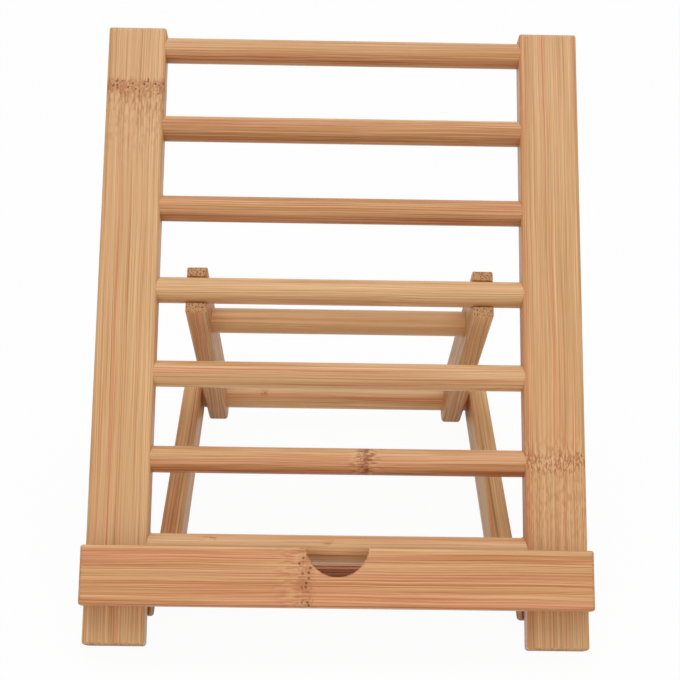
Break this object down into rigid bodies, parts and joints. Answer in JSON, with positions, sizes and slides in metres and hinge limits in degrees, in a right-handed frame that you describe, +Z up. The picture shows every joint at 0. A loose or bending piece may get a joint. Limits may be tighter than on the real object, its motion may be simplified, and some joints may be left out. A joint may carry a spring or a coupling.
{
  "type": "folding bookstand rack",
  "caption": "Folding bamboo stand that holds an open book or tablet upright: slatted leaning frame with a lip, hinged base frame and a notched prop frame.",
  "frame": {"origin": "on the surface that the stand rests on, below the middle of its bounding box", "axes": "+X to the reader's right along the crossbars, +Y from the lip to the rear, +Z up"},
  "size_m": [0.24, 0.2364, 0.2423],
  "materials": {
    "stile_bamboo": "fine sanded, clear satin lacquer",
    "crossbar_bamboo": "turned, clear satin lacquer",
    "lip_bamboo": "fine sanded, clear satin lacquer",
    "base_bamboo": "fine sanded, clear satin lacquer",
    "prop_bamboo": "fine sanded, clear satin lacquer",
    "screw_steel": "zinc plated"
  },
  "bodies": {
    "base_frame": {"leg_left": "base_bamboo", "leg_right": "base_bamboo", "front_hinge_rod": "crossbar_bamboo", "rear_hinge_rod": "crossbar_bamboo"},
    "front_frame": {"stile_left": "stile_bamboo", "stile_right": "stile_bamboo", "crossbar_1": "crossbar_bamboo", "crossbar_2": "crossbar_bamboo", "crossbar_3": "crossbar_bamboo", "crossbar_4": "crossbar_bamboo", "crossbar_5": "crossbar_bamboo", "crossbar_6": "crossbar_bamboo", "crossbar_7": "crossbar_bamboo", "ledge": "lip_bamboo", "lip": "lip_bamboo", "hinge_block_left": "base_bamboo", "hinge_block_right": "base_bamboo", "hinge_block_screws": "screw_steel", "ledge_screws": "screw_steel"},
    "prop_frame": {"prop_arm_left": "prop_bamboo", "prop_arm_right": "prop_bamboo", "prop_crossbar": "crossbar_bamboo"}
  },
  "joints": [
    {"name": "frame_tilt", "type": "hinge", "parent": "base_frame", "child": "front_frame", "pos_m": [0, -0.07335, 0.01768], "axis": [1, 0, 0], "range_deg": [0, 120]},
    {"name": "prop_swing", "type": "hinge", "parent": "base_frame", "child": "prop_frame", "pos_m": [0, 0.10412, 0.01434], "axis": [1, 0, 0], "range_deg": [0, 48]}
  ],
  "couplings": [
    {"joint": "prop_swing", "follows": "frame_tilt", "ratio": 0.4}
  ]
}
